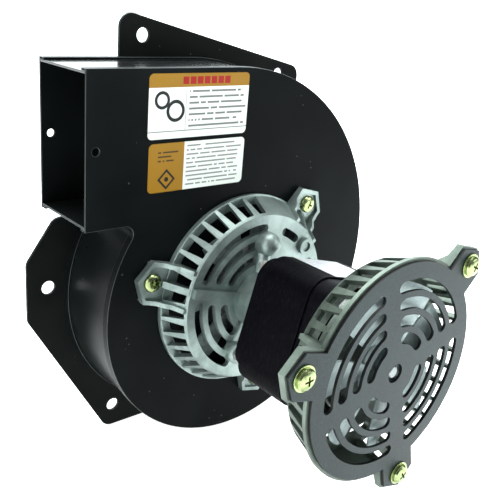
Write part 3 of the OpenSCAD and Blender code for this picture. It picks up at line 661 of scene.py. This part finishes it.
def sheet_block(rows, thick):
    """A closed sheet from a grid of middle points, thickened along each point's own normal."""
    shape = bmesh.new()
    count, wide = len(rows), len(rows[0])
    sides = []
    for sign in (-0.5, 0.5):
        layer = []
        for i, row in enumerate(rows):
            line = []
            for j, p in enumerate(row):
                ahead = Vector(rows[min(i + 1, count - 1)][j]) - Vector(rows[max(i - 1, 0)][j])
                across = Vector(row[min(j + 1, wide - 1)]) - Vector(row[max(j - 1, 0)])
                line.append(shape.verts.new(Vector(p) + ahead.cross(across).normalized() * thick * sign))
            layer.append(line)
        sides.append(layer)
    for layer in sides:
        for i in range(count - 1):
            for j in range(wide - 1):
                shape.faces.new((layer[i][j], layer[i + 1][j], layer[i + 1][j + 1], layer[i][j + 1]))
    rim = [(i, 0) for i in range(count)] + [(count - 1, j) for j in range(1, wide)]
    rim += [(i, wide - 1) for i in range(count - 2, -1, -1)] + [(0, j) for j in range(wide - 2, 0, -1)]
    for (a, b), (c, d) in zip(rim, rim[1:] + rim[:1]):
        shape.faces.new((sides[0][a][b], sides[1][a][b], sides[1][c][d], sides[0][c][d]))
    return shape


def turned(profile):
    """A closed ring turned about the motor axis from (radius, y) points."""
    shape = bmesh.new()
    loops = []
    for k in range(RING_STEPS):
        a = math.tau * k / RING_STEPS
        loops.append([shape.verts.new((r * math.cos(a), y, r * math.sin(a))) for r, y in profile])
    for here, there in zip(loops, loops[1:] + loops[:1]):
        for j in range(len(profile)):
            k = (j + 1) % len(profile)
            shape.faces.new((here[j], here[k], there[k], there[j]))
    return shape


def joined(name, meshes):
    """Several meshes as one."""
    shape = bmesh.new()
    for mesh in meshes:
        shape.from_mesh(mesh)
    bmesh.ops.recalc_face_normals(shape, faces=shape.faces)
    whole = bpy.data.meshes.new(name)
    shape.to_mesh(whole)
    shape.free()
    for face in whole.polygons:
        face.use_smooth = True
    whole.set_sharp_from_angle(angle=CREASE_ANGLE)
    return whole


def core_stack():
    """The stator as a stack of thin plates with the CAD core's own outline."""
    sheet, solid_share, near = 0.62 * MM, 0.82, 0.01 * MM
    low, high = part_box("stator_core")
    shape = bmesh.new()
    shape.from_mesh(merged("stator_core"))
    away = [f for f in shape.faces if f.normal.y >= -0.99 or f.calc_center_median().y >= low.y + near]
    bmesh.ops.delete(shape, geom=away, context="FACES")
    count = round((high.y - low.y) / sheet)
    pitch = (high.y - low.y) / count
    grown = bmesh.ops.extrude_face_region(shape, geom=shape.faces[:], use_keep_orig=True)
    far = [v for v in grown["geom"] if isinstance(v, bmesh.types.BMVert)]
    bmesh.ops.translate(shape, vec=(0, pitch * solid_share, 0), verts=far)
    plates = stacks.run(source(shape), "core_black", Count=count, Step=(0, pitch, 0), Shake=0.0022, Seed=7)
    piece("core_laminations", plates, "housing", ["core_black"], ["stator_core"])


def cooling_fan(node, skin="fan_aluminium"):
    """Seven wide pressed blades on a disc and hub."""
    hub_r, hub_edge, bore, disc_r, disc_t = 9 * MM, 0.8 * MM, 3.2 * MM, 18 * MM, 1.6 * MM
    blades_round, blade_t, half_wide, lift, twist = 7, 1.1 * MM, math.radians(16.5), 0.42, 1.35
    spans, columns = 8, 6
    low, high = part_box(node)
    middle, tall = (low.y + high.y) / 2, high.y - low.y
    tip = max(high.x, high.z, -low.x, -low.z)
    rows = []
    for i in range(spans + 1):
        out = i / spans
        r = hub_r + (tip - hub_r) * out
        half = half_wide * min(1, 1.03 - out ** 9 * 0.16)
        row = []
        for j in range(-columns, columns + 1):
            a = half * j / columns
            rise = tall * lift * math.sin(a / half * twist) * (0.45 + 0.55 * out)
            row.append((r * math.cos(a), middle + rise, r * math.sin(a)))
        rows.append(row)
    blade = source(sheet_block(rows, blade_t))
    blades = rings.run(blade, skin, Count=blades_round, Turn=MOTOR_TILT - FAN_START)
    under, over = middle - disc_t / 2, middle + disc_t / 2
    rim_r = disc_r - 0.6 * MM
    hub = turned([(bore, low.y), (hub_r - hub_edge, low.y), (hub_r, low.y + hub_edge), (hub_r, under),
                  (rim_r, under), (disc_r, middle), (rim_r, over),
                  (hub_r, over), (hub_r, high.y - hub_edge), (hub_r - hub_edge, high.y), (bore, high.y)])
    centre = bpy.data.meshes.new("hub")
    hub.to_mesh(centre)
    hub.free()
    piece(node + "_blades", joined(node, [blades, centre]), "rotor", [skin], [node])


def blower_blades():
    """Forward curved blades of the wheel."""
    bend, first, sweep, steps = 11.3 * MM, math.radians(60), math.radians(60), 10
    sheet, count = 0.8 * MM, 32
    low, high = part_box("wheel_blades")
    middle = max(high.x, high.z) - 7 * MM
    rows = []
    for i in range(steps + 1):
        a = first + sweep * i / steps
        x, z = middle + bend * math.cos(a), bend * math.sin(a) - bend
        rows.append([(x, low.y + (high.y - low.y) * j / 2, z) for j in range(3)])
    skin = "aluminised_steel"
    blades = rings.run(source(sheet_block(rows, sheet)), skin, Count=count, Turn=MOTOR_TILT)
    piece("wheel_curved_blades", joined("wheel", [blades]), "rotor", [skin], ["wheel_blades"])


def coil_turns():
    """The outer turns of wire round each of the four coils."""
    low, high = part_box("coil_windings")
    wire, deep, start, corner = 0.42 * MM, 6 * MM, 22.5 * MM, 5 * MM
    sides, corner_steps = 6, 5
    half, reach = 14.4 * MM, (high.y - low.y) / 2 - wire
    middle = (low.y + high.y) / 2
    path = []
    for sx, sy, first in ((1, 1, 0), (-1, 1, 90), (-1, -1, 180), (1, -1, 270)):
        for k in range(corner_steps + 1):
            a = math.radians(first + 90 * k / corner_steps)
            z = sx * (half - corner) + corner * math.cos(a)
            y = sy * (reach - corner) + corner * math.sin(a)
            path.append((z, y))
    shape = bmesh.new()
    loops = []
    for n, (z, y) in enumerate(path):
        ahead, back = path[(n + 1) % len(path)], path[n - 1]
        along = Vector((ahead[0] - back[0], ahead[1] - back[1])).normalized()
        loop = []
        for k in range(sides):
            b = math.tau * k / sides
            aside = wire * math.sin(b)
            place = (wire * math.cos(b) + start + wire, middle + y - along.x * aside, z + along.y * aside)
            loop.append(shape.verts.new(place))
        loops.append(loop)
    for here, there in zip(loops, loops[1:] + loops[:1]):
        for j in range(sides):
            k = (j + 1) % sides
            shape.faces.new((here[j], here[k], there[k], there[j]))
    count = int(deep / (2 * wire))
    step = ((deep - 2 * wire) / (count - 1), 0, 0)
    coil = stacks.run(source(shape), "copper_wire", Count=count, Step=step, Shake=0.0, Seed=2)
    one = bmesh.new()
    one.from_mesh(coil)
    coils = rings.run(source(one), "copper_wire", Count=4, Turn=MOTOR_TILT)
    piece("coil_wire_turns", joined("turns", [coils]), "housing", ["copper_wire"], [])


core_stack()
# The front fan gets the darker fan finish, painted shade for its place inside the casting.
cooling_fan("front_cooling_fan", "painted_shade_fan")
cooling_fan("rear_cooling_fan")
blower_blades()
coil_turns()


# ---- studio --------------------------------------------------------------------------------------

def camera():
    """A tripod view from the front left, a little above the motor."""
    place = (-0.2619, -0.3479, 0.1680)
    tip, roll, turn = 70.156, -4.152, -38.684
    lens = bpy.data.cameras.new("camera")
    lens.lens, lens.sensor_width = 51.8, 36
    lens.shift_x, lens.shift_y = 0.0432, -0.0068
    lens.clip_start, lens.clip_end = 0.01, 20
    made = bpy.data.objects.new("camera", lens)
    made.location = place
    made.rotation_euler = [math.radians(angle) for angle in (tip, roll, turn)]
    bpy.context.scene.collection.objects.link(made)
    bpy.context.scene.camera = made


def softbox(name, place, aim, size, power):
    """A rectangular lamp at a place, turned to its aim."""
    lamp = bpy.data.lights.new(name, "AREA")
    lamp.shape, lamp.size, lamp.size_y = "RECTANGLE", size[0], size[1]
    lamp.energy = power
    made = bpy.data.objects.new(name, lamp)
    made.location = place
    made.rotation_euler = (Vector(aim) - Vector(place)).to_track_quat("-Z", "Y").to_euler()
    bpy.context.scene.collection.objects.link(made)


def room():
    """White where the camera looks; elsewhere bright behind the fan and dim in front of it."""
    world = bpy.data.worlds.new("studio")
    bpy.context.scene.world = world
    world.use_nodes = True
    board = Board(world.node_tree)
    board.tree.nodes.clear()
    seen = board.node("ShaderNodeLightPath", out="Is Camera Ray")
    across, along, up = board.axes(board.node("ShaderNodeTexCoord", out="Generated"))
    behind = along.soft(0.0, 0.6) * (across.soft(-0.7, 0.0) * 0.9 + 0.1)
    glow = behind * (up.soft(0.0, 0.4) * 4.5 + 1.2) + up.soft(0.2, 1.0) * 0.35 + 0.10
    colour = board.blend(seen, (0.90, 0.98, 1.0), (1.0, 1.0, 1.0))
    strength = glow + (1.05 - glow) * seen
    sky = board.node("ShaderNodeBackground", values={"Color": colour, "Strength": strength})
    leave = board.tree.nodes.new("ShaderNodeOutputWorld")
    board.tree.links.new(sky.socket, leave.inputs["Surface"])


def floor():
    """A wide pale disc just under the fan."""
    radius, gap = 6, 0.2 * MM
    f = Finish("pale_floor")
    tone = f.blend(f.noise(3, 2), (0.90, 0.90, 0.90), (0.93, 0.93, 0.93))
    skin = f.surface(tone, 0.9, 0.0, None, Emission_Color=(1, 1, 1, 1), Emission_Strength=0.92)
    shape = bmesh.new()
    bmesh.ops.create_circle(shape, cap_ends=True, radius=radius, segments=64)
    mesh = bpy.data.meshes.new("floor")
    shape.to_mesh(mesh)
    shape.free()
    mesh.transform(Matrix.Translation((0, 0, cad_low.z - gap)))
    mesh.materials.append(skin)
    disc = bpy.data.objects.new("floor", mesh)
    bpy.context.scene.collection.objects.link(disc)


camera()
room()
softbox("overhead", (0.05, 0.05, 1.1), (0, -0.05, 0), (1.0, 0.8), 16)
softbox("left", (-1.1, -0.3, 0.45), (0, -0.05, 0), (0.5, 0.9), 5)
softbox("right", (0.8, -0.9, 0.5), (0, -0.1, 0), (0.6, 0.6), 5)
floor()
bpy.context.scene.view_settings.view_transform = "Standard"

bpy.context.view_layer.update()
